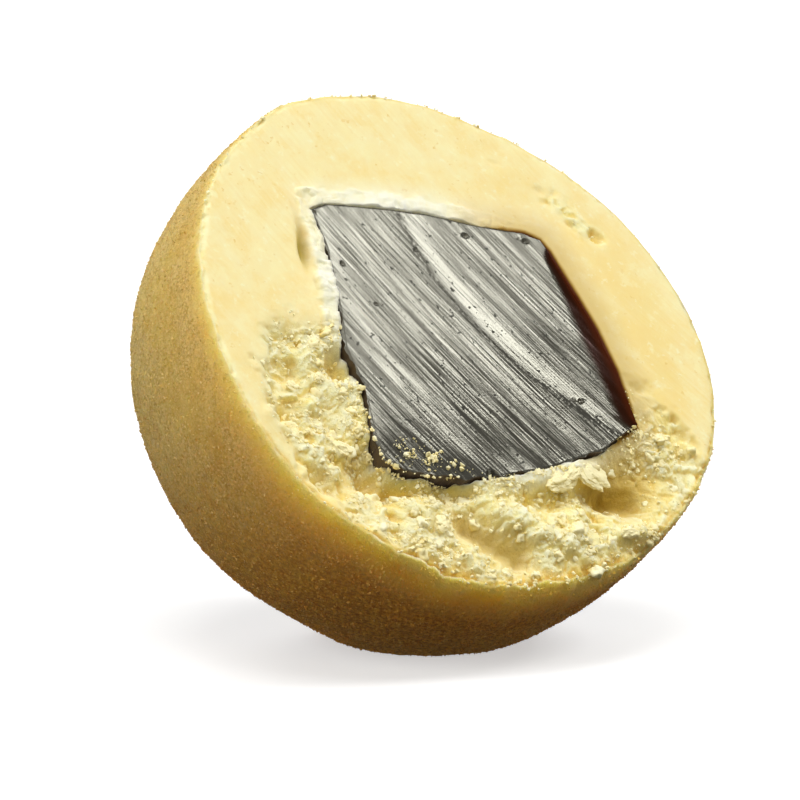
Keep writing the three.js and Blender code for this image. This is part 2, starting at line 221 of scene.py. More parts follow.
# of broken chocolate: crests paler, partly their own colour and partly painted highlight; hollows and sides
# facing down along the cut golden, as painted shade
# the broken chocolate is likewise painted yellower towards the right: painted shade
BROKEN_LEFT, BROKEN_RIGHT = (0.985, 0.9, 0.52), (0.98, 0.86, 0.41)
BROKEN_HIGH, BROKEN_HOLLOW_SHADE, BROKEN_SHADE = (0.995, 0.955, 0.64), (0.92, 0.74, 0.23), (0.86, 0.68, 0.17)
CRUMB_DARK, CRUMB_LIGHT = (0.95, 0.79, 0.31), (0.995, 0.96, 0.67)
# the golden colour for crumb sides facing down along the cut is painted shade
CRUMB_SHADE, CRUMB_SPOT = (0.88, 0.7, 0.2), (0.94, 0.79, 0.34)
# of hollows and of places beside the core: the colours of sunk places, pits and the groove are painted
# shade, the waxy amber of smooth spots is darkened with painted shade, and the colour next to the core on
# the right is painted shade
SUNK_SHADE, WAXY_AND_SHADE, PIT_SHADE = (0.86, 0.6, 0.14), (0.42, 0.27, 0.035), (0.86, 0.63, 0.17)
LIP, GROOVE_SHADE, NEAR_CORE_SHADE = (0.97, 0.94, 0.75), (0.46, 0.355, 0.05), (0.67, 0.505, 0.19)
STAIN_PALE, STAIN_DARK = (0.47, 0.29, 0.06), (0.085, 0.014, 0.001)
# how far red, green and blue light spread inside the chocolate
SPREAD_CUT, SPREAD_OUTSIDE = (1.0, 0.97, 0.9), (1.0, 0.75, 0.35)
SPREAD_NEAR, SPREAD_FAR = 0.45, 4.0
# of the licorice and its reflections: the lighter colour along the shiny marks is partly a grey knife smear
# and partly painted sheen, and the red at the clear right edge is a painted glow of light through the thin
# edge
LICORICE_DARK, LICORICE_SMEAR_AND_SHEEN = (0.004, 0.003, 0.0025), (0.05, 0.045, 0.032)
CLEAR_BROWN, CLEAR_EDGE_GLOW, LICORICE_SIDE = (0.022, 0.006, 0.002), (0.06, 0.011, 0.002), (0.035, 0.015, 0.006)
SHINE, CLEAR_SHINE = (1.0, 0.98, 0.8), (0.14, 0.03, 0.015)
# where its drag marks turn from dull to shiny
SHINY_MARKS = (0.415, 0.52)

# The studio, in metres
# the pale surroundings, brightest low at the front right
SKY_TOWARDS = (0.75, -0.35, -0.56)
SKY_FADE, SKY_STRENGTH = (0.25, 0.95), (0.26, 4.2)
FLOOR_HALF, FLOOR_GREY, FLOOR_GLOW = 1.5, 0.62, 0.52
LIGHT_DISTANCE = 1.2
# square soft lights: name, direction from the ball, size, brightness of the face, colour
LIGHTS = (
    ("top", (-0.02, -0.14, 0.98), 0.7, 5.2, (1, 1, 1)),
    ("back", (0.72, 0.05, 0.7), 0.43, 11.0, (1, 1, 1)),
    ("fill", (-0.85, -0.36, 0.4), 0.82, 3.8, (1, 1, 1)),
    ("front", (0.15, -0.8, 0.58), 0.9, 1.75, (1.0, 0.95, 0.83)),
    ("rear", (-0.25, 0.9, 0.35), 0.9, 1.8, (1, 1, 1)),
)
# The camera, in millimetres, and where it sees the ball's centre in the photograph's pixels
PHOTO_SIZE = 800
PX_PER_MM = 25.55
BALL_PIXEL = (428.4, 363.3)
CAMERA_DISTANCE = 300.0
CAMERA_ELEVATION = 9.0
SENSOR_MM = 36.0

rng = np.random.default_rng(SEED)


# Small maths
def ramp(x, low, high):
    t = np.clip((x - low) / (high - low), 0, 1)
    return t * t * (3 - 2 * t)


def bell(distance, spread):
    return np.exp(-((distance / spread) ** 2))


def bearing_gap(a, b):
    return np.abs((a - b + 180) % 360 - 180)


def beside(clock, place):
    """How close a clock in degrees is to a place round the cut, from 0 to 1."""
    return bell(bearing_gap(clock, place[0]), place[1])


HASH_STEPS = (73856093, 19349663, 83492791)
HASH_SALT, HASH_MIX, HASH_BITS = 2654435761, 0x45D9F3B, 0xFFFFFFFF


def hash01(cells, salt):
    """A fixed value from 0 to 1 for each whole-number cell."""
    h = salt * HASH_SALT
    for axis, step in enumerate(HASH_STEPS):
        h = h ^ (cells[..., axis].astype(np.int64) * step)
    for _ in range(3):
        h = h & HASH_BITS
        h = (h ^ (h >> 16)) * HASH_MIX
    h = h & HASH_BITS
    return (h ^ (h >> 16)) / 2.0**32


def noise(points, size, salt):
    """Smooth noise from -1 to 1, one bump about every size. Each salt gives another noise."""
    p = points / size
    base = np.floor(p)
    f = p - base
    f = f * f * (3 - 2 * f)
    total = np.zeros(len(p))
    for corner in np.ndindex(2, 2, 2):
        weight = np.prod(np.where(np.array(corner) == 1, f, 1 - f), axis=1)
        total += weight * hash01(base + corner, salt)
    return 2 * total - 1


def layered(points, size, salt, layers=3):
    return sum(noise(points, size / 2**k, salt + k) / 2**k for k in range(layers))


def cells(points, size, salt):
    """Distances to the nearest two of many seeds on a plane, and the nearest one's value from 0 to 1."""
    p = points / size
    base = np.floor(p)
    near = np.full(len(p), np.inf)
    second = np.full(len(p), np.inf)
    value = np.zeros(len(p))
    for step in np.ndindex(3, 3):
        cell = base + np.array([step[0] - 1, step[1] - 1, 0])
        seed = np.stack([hash01(cell, salt), hash01(cell, salt + 1)], axis=1)
        distance = np.linalg.norm((cell - p)[:, :2] + seed, axis=1)
        closer = distance < near
        second = np.where(closer, near, np.minimum(second, distance))
        value = np.where(closer, hash01(cell, salt + 5), value)
        near = np.where(closer, distance, near)
    return near, second, value


def flat(across, up):
    return np.stack([across, up, np.zeros_like(across)], axis=-1)


def from_polar(radius, clock):
    return radius * np.cos(clock), radius * np.sin(clock)


def ring(radius, clock, height):
    """Points round the cut's middle."""
    across, up = from_polar(radius, clock)
    return np.stack([across, up, np.broadcast_to(height, across.shape)], axis=1)


def stroke_gap(across, up, start, end):
    start, end = np.array(start), np.array(end)
    line = end - start
    share = ((across - start[0]) * line[0] + (up - start[1]) * line[1]) / (line @ line)
    share = np.clip(share, 0, 1)
    return np.hypot(across - start[0] - share * line[0], up - start[1] - share * line[1])


# The cut's own axes: across, up and out
turn, rise = math.radians(CUT_TURN), math.radians(CUT_RISE)
OUT = np.array([math.sin(turn) * math.cos(rise), -math.cos(turn) * math.cos(rise), math.sin(rise)])
ACROSS = np.cross([0, 0, 1], OUT)
ACROSS /= np.linalg.norm(ACROSS)
UP = np.cross(OUT, ACROSS)
CUT_AXES = np.array([ACROSS, UP, OUT])
CUT_MIDDLE = BALL_CENTRE + CUT_OFFSET * OUT


def to_world(points):
    return CUT_MIDDLE + points @ CUT_AXES


def on_floor(world):
    world[:, 2] = np.maximum(world[:, 2], 0)
    return world


def direction(clock, tilt):
    return np.stack([*from_polar(np.sin(tilt), clock), np.cos(tilt)], axis=-1)


# Forms
LUMP_DIRECTIONS = direction(np.radians(LUMPS[:, 0]), np.radians(LUMPS[:, 1]))


def ball_radius(towards):
    angle = np.degrees(np.arccos(np.clip(towards @ LUMP_DIRECTIONS.T, -1, 1)))
    return BALL_RADIUS + (LUMPS[:, 3] * bell(angle, LUMPS[:, 2])).sum(axis=-1)


def outside_radius(towards):
    """The ball with the unevenness of a pan-coated surface."""
    p = towards * BALL_RADIUS
    uneven = 0.05 * layered(p, 3.2, 11) + 0.034 * noise(p, 0.8, 21) + 0.016 * noise(p, 0.28, 25)
    return ball_radius(towards) + uneven


def outside_point(clock, tilt):
    towards = direction(clock, tilt)
    point = towards * outside_radius(towards)[..., None]
    point[..., 2] -= CUT_OFFSET
    return point


EDGE_CLOCKS = np.arctan2(CORE_EDGE[:, 1], CORE_EDGE[:, 0]) % (2 * math.pi)
EDGE_ORDER = np.argsort(EDGE_CLOCKS)


def core_reach(clock):
    """How far the core reaches from the middle of the cut, in each direction."""
    clock = np.asarray(clock) % (2 * math.pi)
    corner = CORE_EDGE[EDGE_ORDER]
    after = np.searchsorted(EDGE_CLOCKS[EDGE_ORDER], clock, side="right")
    start, end = corner[after - 1], corner[after % len(corner)]
    side = end - start
    cross = start[..., 0] * side[..., 1] - start[..., 1] * side[..., 0]
    return cross / (np.cos(clock) * side[..., 1] - np.sin(clock) * side[..., 0])


def past_core(across, up):
    """How far outside the core's edge a place is, below 0 on the core."""
    return np.hypot(across, up) - core_reach(np.arctan2(up, across))


def core_ring(reach, clock, depth, angle):
    """A ring of a core's side and rounded end: angle 0 is at the cut, and a quarter turn at the end."""
    power = 2 / CORE_END_SQUARENESS
    return ring(reach * math.cos(angle) ** power, clock, -depth * math.sin(angle) ** power)


def torn_share(across, up):
    """How torn the cut is at a place, from 0 on the knife's smooth cut to 1."""
    p = flat(across, up)
    clock = (np.degrees(np.arctan2(up, across)) + 3.5 * layered(p, 1.0, 31)) % 360
    radius = np.hypot(across, up) + 0.34 * layered(p, 0.9, 35)
    begun = ramp(clock, TORN_FROM, TORN_FROM + TORN_FADE)
    ended = ramp(clock, TORN_TO - TORN_FADE, TORN_TO)
    reach = np.interp(clock, TORN_REACH[:, 0], TORN_REACH[:, 1])
    return begun * (1 - ended) * ramp(reach - radius, -TORN_SOFTNESS / 2, TORN_SOFTNESS / 2)


def tear_share(across, up):
    """The small tear at the right."""
    p = flat(across, up)
    return bell(stroke_gap(across, up, TEAR_FROM, TEAR_TO) + 0.2 * layered(p, 0.5, 85), TEAR_REACH)


def tear_pits(across, up):
    """The row of pits in that tear."""
    return tear_share(across, up) * ramp(noise(flat(across, up), 0.6, 87), -0.4, 0.5)


def crumbly_share(across, up):
    """How thick with crumbs the tear is at a place, from about 0.1 to 1."""
    p = flat(across, up)
    share = 0.55 + 0.3 * ramp(layered(p, 1.1, 141, 2), 0.1, 0.7)
    for start, end, reach in CRUMBLY:
        distance = stroke_gap(across, up, start, end) + 0.25 * noise(p, 0.6, 143)
        share = np.maximum(share, bell(distance, reach))
    for start, end, reach, _ in SMOOTH_SPOTS:
        distance = stroke_gap(across, up, start, end) + 0.3 * layered(p, 0.7, 145, 2)
        share = share * (1 - 0.85 * bell(distance, reach))
    return share


def crumble(across, up):
    """Clods, crumbs and grains of broken chocolate, from about 0.4 below to 0.4 above."""
    p = flat(across, up)
    warp = flat(noise(p, 0.5, 41), noise(p, 0.5, 42))
    fine_warp = flat(noise(p, 0.16, 44), noise(p, 0.16, 45))
    q = p + 0.16 * warp + 0.035 * fine_warp
    height = np.zeros(len(p))
    for size, rough, salt in CRUMBLE_LAYERS:
        near, second, value = cells(q, size, salt)
        step = ramp(second - near, 0, 0.12)
        height += rough * ((value - 0.5) * step + 0.2 * (0.4 - near) - 0.08 * (1 - step))
    return crumbly_share(across, up) * height


def lip_share(p, clock, inset):
    """Where the chocolate is pushed up: over the core's top, and down its upper left side."""
    ragged = inset + 0.18 * noise(p, 0.6, 96) + 0.12 * noise(p, 0.22, 97)
    top = beside(clock, TOP_LIP) * (1 - ramp(ragged, 0.7, 0.95))
    left = beside(clock, LEFT_LIP) * (1 - ramp(ragged, 0.72, 0.95))
    return top, left


def groove_share(clock, inset):
    return beside(clock, GROOVE) * bell(inset - GROOVE_INSET, GROOVE_WIDTH)


def lip_height(p, clock, inset):
    top, left = lip_share(p, clock, inset)
    near, second, value = cells(p + 0.1 * noise(p, 0.3, 98)[:, None], 0.5, 99)
    cracked = 0.1 * layered(p, 0.6, 100) + 0.16 * (value - 0.5) * ramp(second - near, 0, 0.15)
    lips = top * (TOP_LIP_HEIGHT + cracked) + left * (LEFT_LIP_HEIGHT + cracked)
    return lips - GROOVE_DEPTH * groove_share(clock, inset)


def cut_height(across, up):
    """The height of the chocolate's cut over the knife's plane."""
    p = flat(across, up)
    clock = np.degrees(np.arctan2(up, across)) % 360
    inset = past_core(across, up)
    torn = torn_share(across, up)
    share = torn * (LEDGE_SHARE + (1 - LEDGE_SHARE) * ramp(inset, 0, LEDGE_WIDTH))
    broken = crumble(across, up)
    rough = 0.16 * layered(p, 1.5, 81) + 0.08 * layered(p, 0.9, 47, 2) + broken
    sag = RIM_SAG * beside(clock, SAGGING_RIM) * (np.hypot(across, up) / BALL_RADIUS) ** 4
    strokes = np.zeros_like(across)
    wobble = 0.14 * layered(p, 0.7, 149, 2)
    for start, end, size, height in FEATURES + FINE_FEATURES:
        strokes += height * bell(stroke_gap(across, up, start, end) + wobble, size)
    tear = tear_share(across, up) * broken - TEAR_DEPTH * tear_pits(across, up)
    knife = 0.012 * layered(p, 2.4, 91) + 0.004 * noise(p, 0.35, 95)
    mouth = MOUTH_DROP * ramp(np.cos(np.radians(clock)), 0.62, 0.85) * bell(inset, MOUTH_DROP_WIDTH)
    lip = lip_height(p, clock, inset) - mouth
    return share * (rough - TORN_DEPTH) - sag + strokes + tear + (1 - torn) * knife + lip


def rim_softness(clock):
    """How wide the rounded rim is: crisp above, broad where the tear reaches it below."""
    return RIM_WIDTH + BROAD_RIM_EXTRA * beside(clock, BROAD_RIM)


def rim_drop(distance, width):
    """How far both surfaces draw back near the soft edge between them."""
    return 0.3 * width * np.clip(1 - distance / width, 0, 1) ** 2


def rim_tilt(clock):
    """The tilt from the cut's axis at which the outside meets the cut."""
    tilt = np.full_like(clock, math.acos(CUT_OFFSET / BALL_RADIUS))
    for _ in range(6):
        rim = outside_point(clock, tilt)
        level = CUT_OFFSET + cut_height(rim[:, 0], rim[:, 1])
        tilt = np.arccos(np.clip(level / outside_radius(direction(clock, tilt)), -1, 1))
    return tilt


def rim_teeth(clock):
    """Fine teeth along the rim, with only the notches between them at the low front."""
    teeth = 0.08 * layered(flat(*from_polar(BALL_RADIUS, clock)), 0.3, 105, 2)
    return np.where(teeth > 0, teeth * (1 - beside(np.degrees(clock), LOW_FRONT)), 1.5 * teeth)


def powder_start(clock):
    """How far below the rim the powder thickens."""
    return 0.22 + 0.78 * beside(clock, LOW_FRONT)


# how low a place is, for the darkening underneath: partly brown dust, partly painted shade
def lowness(points):
    return ramp(-to_world(points)[:, 2], -LOW_BEGINS, -LOW_ENDS)


def ragged_edge(clock, salt):
    """Small ins and outs of the core's edge: most at the torn side, few along the right."""
    p = flat(*from_polar(CORE_RADIUS, clock))
    amount = 0.025 + 0.06 * ramp(-np.cos(clock - math.radians(45)), -0.3, 0.5)
    return amount * (noise(p, 0.4, salt) + 0.6 * noise(p, 0.17, salt + 1))


def mouth_reach(clock):
    """How far the chocolate's hole reaches: against the core on the right, just clear of it elsewhere."""
    gap = 0.045 - 0.07 * ramp(np.cos(clock), 0.45, 0.75)
    return core_reach(clock) + gap + ragged_edge(clock, 101)


def drag_place(across, up, slopes):
    """Where the line of drag through a place crosses the level line through the middle."""
    slope, right, upwards = slopes
    lean = -upwards / right
    start = -(slope + lean) / right
    return (across - start - lean * up) * np.exp(right * up) + start


def roll_share(across, up):
    """How far a place lies into the licorice's clear right edge, up to 1 at the edge itself."""
    clock = np.degrees(np.arctan2(up, across))
    width = 0.5 + 0.75 * ramp(-up, -3.2, 2.0)
    within = 1 - ramp(bearing_gap(clock, ROLL_CLOCK), ROLL_REACH - ROLL_FADE, ROLL_REACH)
    return within * np.clip(1 + past_core(across, up) / width, 0, 1)


def licorice_height(across, up):
    roll = ROLL_DEPTH * roll_share(across, up) ** 2
    at_edge = 1 - ramp(-past_core(across, up), 0, WORN_WIDTH)
    edge = WORN_DEPTH * at_edge * (1 - ramp(np.cos(np.arctan2(up, across)), 0.6, 0.85))
    lines = flat(drag_place(across, up, DRAG_MARKS), up * 0.04)
    streak = 0.02 * noise(lines, 0.9, 111) + 0.008 * noise(lines, 0.35, 113)
    uneven = 0.05 * layered(flat(across, up), 0.2, 115, 2)
    pits = np.zeros_like(across)
    for (across_pit, up_pit), size, depth in PITS:
        distance = np.hypot(across - across_pit, (up - up_pit) * 1.6)
        pits += depth * (1 - ramp(distance + uneven, 0.4 * size, 1.3 * size))
    return LICORICE_LIFT - roll - edge + streak - pits


# Meshes
def add_mesh(name, points, faces, material, values, smooth=True):
    """A mesh object from world points in millimetres, with named values on its points."""
    mesh = bpy.data.meshes.new(name)
    mesh.from_pydata((np.asarray(points) * MM).tolist(), [], faces)
    for key, array in values.items():
        attribute = mesh.attributes.new(key, "FLOAT", "POINT")
        attribute.data.foreach_set("value", np.asarray(array, dtype=np.float32))
    mesh.polygons.foreach_set("use_smooth", np.full(len(mesh.polygons), smooth))
    mesh.materials.append(material)
    mesh.update()
    piece = bpy.data.objects.new(name, mesh)
    scene.collection.objects.link(piece)
    return piece


def closed_tube(rings, first, last):
    """Points and faces of rings joined in order, with a fan to one point at each end."""
    steps = len(rings[0])
    end = steps * (len(rings) - 1)
    step = np.arange(steps)
    nxt = (step + 1) % steps
    faces = []
    for row in range(0, end, steps):
        corners = [row + step, row + nxt, row + steps + nxt, row + steps + step]
        faces += np.stack(corners, axis=1).tolist()
    faces += np.stack([np.full(steps, end + steps), nxt, step], axis=1).tolist()
    faces += np.stack([np.full(steps, end + steps + 1), end + step, end + nxt], axis=1).tolist()
    return np.concatenate(rings + [[first], [last]]), faces


def make_coating(material):
    clock = np.radians(np.concatenate([np.linspace(*stretch, endpoint=False) for stretch in CLOCK_STEPS]))
    degrees = np.degrees(clock)
    rim = rim_tilt(clock)
    teeth = rim_teeth(clock)
    uneven = beside(degrees, LOW_FRONT) * layered(flat(*from_polar(BALL_RADIUS, clock)), 0.9, 103, 2)
    soft = rim_softness(degrees) * (1 + 0.6 * uneven)
    rings, dust, away, edging = [], [], [], []
    for share in 1 - (1 - np.linspace(0, 1, OUTSIDE_ROWS + 1)[1:]) ** OUTSIDE_CROWDING:
        gap = (math.pi - rim) * (1 - share) * BALL_RADIUS
        outside = outside_point(clock, math.pi + (rim - math.pi) * share)
        outside[:, :2] *= 1 - rim_drop(gap, soft)[:, None] / BALL_RADIUS
        rings.append(outside)
        ragged = 0.14 * layered(outside, 0.25, 107, 2)
        dust.append(0.5 + 0.5 * ramp(gap + ragged, 0, 1.3 * soft))
        away.append(gap / powder_start(degrees))
        edging.append(bell(gap, 0.07))
    edge = rings[-1]
    edge[:, 2] += teeth - rim_drop(0.0, soft)
    reach = np.hypot(edge[:, 0], edge[:, 1])
    mouth = mouth_reach(clock)
    for share in np.linspace(0, 1, CUT_ROWS + 1)[1:]:
        radius = reach + (mouth - reach) * share
        gap = reach - radius
        height = cut_height(*from_polar(radius, clock)) + teeth * np.clip(1 - gap / TEETH_WIDTH, 0, 1)
        rings.append(ring(radius, clock, height - rim_drop(gap, soft)))
        dust.append(0.5 * (1 - ramp(gap, 0, 0.7 * soft)))
        edging.append(bell(gap + 0.25 * layered(rings[-1], 0.3, 109, 2), 0.22))
    nothing = np.zeros(len(clock))
    for angle in HOLE_ANGLES:
        rings.append(core_ring(mouth + HOLE_WIDER, clock, CORE_DEPTH + HOLE_DEEPER, angle))
        dust.append(nothing)
        edging.append(nothing)
    away += [nothing] * (len(rings) - len(away))
    bottom = outside_point(np.array([0.0]), np.array([math.pi]))[0]
    points, faces = closed_tube(rings, bottom, [0.0, 0.0, -(CORE_DEPTH + HOLE_DEEPER)])
    values = coating_values(points, np.concatenate(dust + [[1.0, 0.0]]))
    values["away"] = np.concatenate(away + [[math.pi * BALL_RADIUS / 2, 0.0]])
    left = beside(degrees, LEFT_RIM)
    values["edge"] = np.concatenate([left * share for share in edging] + [[0.0, 0.0]])
    piece = add_mesh("coating", on_floor(to_world(points)), faces, material, values)
    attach(piece, "root")
    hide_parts("chocolate_coating")


def coating_values(points, dust):
    """The values that the chocolate's colours follow."""
    across, up = points[:, 0], points[:, 1]
    radius, clock = np.hypot(across, up), np.arctan2(up, across)
    degrees = np.degrees(clock) % 360
    inset = past_core(across, up)
    under = 0.7 * beside(degrees, BELOW_CORE) * (1 - ramp(inset, 0.3, 0.9))
    halo = 0.5 * beside(degrees, ABOVE_CORE) * (1 - ramp(inset, 0.7, 1.7))
    # the smooth spots' waxy amber, partly their own colour and partly painted shade
    waxy_and_shade = np.zeros_like(across)
    for start, end, reach, clear in SMOOTH_SPOTS:
        waxy_and_shade = np.maximum(waxy_and_shade, clear * bell(stroke_gap(across, up, start, end), reach))
    on_cut_only = {
        "torn": np.maximum(torn_share(across, up), tear_share(across, up)),
        "pale": np.max([*lip_share(flat(across, up), degrees, inset), under, halo], axis=0),
        # sunk places, tear pits and the groove carry painted shade
        "sunk_shade": ramp(-points[:, 2], 0.15, 1.2),
        "stain": ramp(np.cos(clock), 0.55, 0.85) * (1 - ramp(inset, 0.0, 0.34)),
        "waxy_and_shade": waxy_and_shade,
        "groove": groove_share(degrees, inset),
        "pit_shade": tear_pits(across, up),
        # darker next to the core on the right: painted shade
        "near": ramp(np.cos(clock), 0.3, 0.8) * (1 - ramp(inset, 0.2, 1.8)),
    }
    values = {key: value * (1 - dust) for key, value in on_cut_only.items()}
    # darker and yellower towards the right: painted shade
    to_right = ramp(0.8 * across - 0.6 * up, 0.0, 9.0)
    values.update({
        "dust": dust,
        "relief": crumble(across, up),
        "drag": drag_place(across, up, DRAG_MARKS),
        "along": up,
        "right": to_right * (1 - 0.8 * ramp(radius, 9.6, 11.2)),
        "front": beside(degrees, LOW_FRONT),
        "low": lowness(points),
    })
    return values


def make_licorice(material):
    clock = np.linspace(0, 2 * math.pi, LICORICE_STEPS, endpoint=False)
    clock = np.sort(np.concatenate([clock, EDGE_CLOCKS]))
    reach = core_reach(clock) + ragged_edge(clock, 131) - LICORICE_GAP
    turns = math.pi / 2 * (1 - np.linspace(0, 1, LICORICE_SIDE_ROWS + 1)[1:-1])
    rings = [core_ring(reach, clock, CORE_DEPTH, angle) for angle in turns]
    top = licorice_height(*from_polar(reach, clock))
    for depth in EDGE_DEPTHS:
        p = ring(CORE_RADIUS, clock, depth)
        uneven = 0.05 * layered(p, 0.35, 133, 2) - 0.03
        rings.append(ring(reach + min(depth / 0.1, 1) * uneven, clock, top - depth))
    shares = np.linspace(1, 0, LICORICE_ROWS + 1)[:-1]
    for share in np.insert(shares, 1, 1 - EDGE_RING / BALL_RADIUS):
        across, up = from_polar(reach * share, clock)
        rings.append(np.stack([across, up, licorice_height(across, up)], axis=1))
    middle = licorice_height(np.zeros(1), np.zeros(1))[0]
    points, faces = closed_tube(rings, [0, 0, -CORE_DEPTH], [0, 0, middle])
    wall = np.ones(len(points))
    wall[-((LICORICE_ROWS + 1) * len(clock) + 2):] = 0
    across, up = points[:, 0], points[:, 1]
    *corner, corner_reach = DARK_CORNER
    warp_up, warp_across = np.where(up > 0, WARP_UP, WARP_DOWN), np.where(across > 0, WARP_RIGHT, WARP_LEFT)
    values = {
        "drag": drag_place(across, up, DRAG_MARKS),
        "swath": drag_place(across, up, DRAG_SWATHS),
        "along": up,
        "warp": warp_up * up**2 - warp_across * across**2,
        "dull": ramp(0.2 * across - 0.6 * up, -1.5, 4.0),
        "corner": bell(stroke_gap(across, up, *corner), corner_reach),
        "wall": wall,
        "clear": roll_share(across, up),
    }
    piece = add_mesh("licorice", to_world(points), faces, material, values)
    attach(piece, "root")
    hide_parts("licorice_core")


# Crumbs and powder
def ball_shape(subdivisions):
    """A faceted ball as unit points and triangles."""
    bpy.ops.mesh.primitive_ico_sphere_add(subdivisions=subdivisions, radius=1)
    ball = bpy.context.object
    mesh = ball.data
    points = np.array([v.co[:] for v in mesh.vertices])
    faces = np.array([f.vertices[:] for f in mesh.polygons])
    bpy.data.objects.remove(ball)
    bpy.data.meshes.remove(mesh)
    return points, faces


GRAIN_POINTS = np.array([(1, 1, 1), (1, -1, -1), (-1, 1, -1), (-1, -1, 1)]) / math.sqrt(3)
GRAIN_FACES = np.array([(0, 1, 2), (0, 3, 1), (0, 2, 3), (1, 3, 2)])


def random_turns(count):
    return np.array([Quaternion(q).normalized().to_matrix() for q in rng.normal(size=(count, 4))])


def random_sizes(count, smallest, extra, rarity):
    return smallest + extra * rng.uniform(0, 1, count) ** rarity


def scattered(places, sizes, shape, lumpiness):
    """Points and faces of many small bodies, each squashed, dented and turned at random."""
    unit, faces = shape
    count = len(places)
    stretch = rng.uniform(0.6, 1.2, size=(count, 1, 3))
    dents = 1 + lumpiness * rng.uniform(-1, 1, size=(count, len(unit), 1))
    local = unit[None] * stretch * dents * sizes[:, None, None]
    local = np.einsum("nij,nkj->nki", random_turns(count), local)
    points = (places[:, None] + local).reshape(-1, 3)
    index = (faces[None] + len(unit) * np.arange(count)[:, None, None]).reshape(-1, 3)
    return points, index


def random_on_cut(tries, outer, span):
    """Random places on the cut."""
    radius = np.sqrt(rng.uniform(TORN_INNER**2, outer**2, tries))
    return from_polar(radius, np.radians(rng.uniform(*span, tries)))


def on_cut(across, up, lift):
    return np.stack([across, up, cut_height(across, up) + lift], axis=1)


def torn_crumbs():
    """Crumbs on the torn part of the cut, thick on its crumbly stretches."""
    across, up = random_on_cut(TORN_TRIES, BALL_RADIUS, TORN_SPAN)
    chance = torn_share(across, up) * crumbly_share(across, up) ** 3
    chance *= (past_core(across, up) > 0.04) & (np.hypot(across, up) < TORN_OUTER)
    keep = np.flatnonzero(rng.uniform(0, 1, TORN_TRIES) < TORN_CHANCE * chance)
    size = random_sizes(len(keep), *TORN_SIZE)
    return on_cut(across[keep], up[keep], -CRUMB_SINK * size), size


def random_on_rim(count, span):
    clock = np.radians(rng.uniform(*span, count))
    return clock, outside_point(clock, rim_tilt(clock))


def rim_crumbs():
    """Crumbs where the tear reaches the rim."""
    clock, rim = random_on_rim(RIM_COUNT, RIM_SPAN)
    size = random_sizes(RIM_COUNT, *RIM_SIZE)
    reach = np.hypot(rim[:, 0], rim[:, 1]) - rng.uniform(0.0, 0.16, RIM_COUNT)
    return on_cut(*from_polar(reach, clock), -RIM_SINK * size), size


def top_crumbs():
    """Specks along the upper rim."""
    _, rim = random_on_rim(TOP_COUNT, TOP_SPAN)
    return rim + np.array([0, 0, -0.02]), random_sizes(TOP_COUNT, *TOP_SIZE)


def tear_crumbs():
    """Crumbs round the small tear at the right."""
    spot = np.array(TEAR_FROM) + rng.uniform(0.2, 1, (TEAR_COUNT, 1)) * np.subtract(TEAR_TO, TEAR_FROM)
    across, up = (spot + rng.normal(0, 0.2, (TEAR_COUNT, 2))).T
    size = random_sizes(TEAR_COUNT, *TEAR_SIZE)
    return on_cut(across, up, -CRUMB_SINK * size), size


def stray_crumbs():
    """Crumbs that fell on the lower left corner of the licorice."""
    centres, spreads, shares = (np.array(column) for column in zip(*STRAY_SPOTS))
    pick = rng.choice(len(STRAY_SPOTS), STRAY_COUNT, p=shares)
    spot = centres[pick] + rng.normal(size=(STRAY_COUNT, 2)) * spreads[pick][:, None] * (1.0, 0.6)
    across, up = spot[past_core(*spot.T) < -0.03].T
    size = random_sizes(len(across), *STRAY_SIZE)
    return np.stack([across, up, licorice_height(across, up) + 0.5 * size], axis=1), size


def seam_crumbs():
    """Crumbs caught along the lower edge of the licorice."""
    clock = np.radians(rng.uniform(*SEAM_SPAN, SEAM_COUNT))
    inset = rng.normal(0.1, 0.14, SEAM_COUNT)
    across, up = from_polar(core_reach(clock) + inset, clock)
    size = random_sizes(SEAM_COUNT, *SEAM_SIZE)
    on_core = licorice_height(across, up) - 2.0 * np.abs(inset)
    level = np.where(inset > 0.05, cut_height(across, up), on_core)
    patchy = ramp(layered(flat(across, up), 1.2, 147, 2), -0.4, 0.4)
    keep = rng.uniform(0, 1, SEAM_COUNT) < patchy
    return np.stack([across, up, level + 0.2 * size], axis=1)[keep], size[keep]


def chunk_points(unit, salt, place, lift, half, turn_by, lean):
    """One larger crumb, turned on the cut and leaning down to the right."""
    lumps = 1 + 0.3 * layered(unit * 1.5 + salt * 7.3, 0.8, salt, 5)
    local = unit * lumps[:, None] * np.array(half)
    c, s = math.cos(math.radians(turn_by)), math.sin(math.radians(turn_by))
    local = local @ np.array([[c, s, 0], [-s, c, 0], [0, 0, 1]])
    local[:, 2] -= lean * local[:, 0]
    return local + on_cut(*np.array(place)[:, None], lift)


def make_crumbs(material):
    groups = (torn_crumbs(), rim_crumbs(), top_crumbs(), tear_crumbs(), stray_crumbs(), seam_crumbs())
    places, sizes = (np.concatenate(column) for column in zip(*groups))
    shape = ball_shape(1)
    points, faces = scattered(places, sizes, shape, 0.4)
    tone = np.repeat(rng.uniform(0.3, 1, len(places)), len(shape[0]))
    unit, unit_faces = ball_shape(4)
    for number, chunk in enumerate(CHUNKS):
        faces = np.concatenate([faces, unit_faces + len(points)])
        points = np.concatenate([points, chunk_points(unit, CHUNK_NOISE + number, *chunk)])
        tone = np.append(tone, np.full(len(unit), CHUNK_TONE))
    world = on_floor(to_world(points))
    piece = add_mesh("crumbs", world, faces.tolist(), material, {"tone": tone}, smooth=False)
    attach(piece, "root")


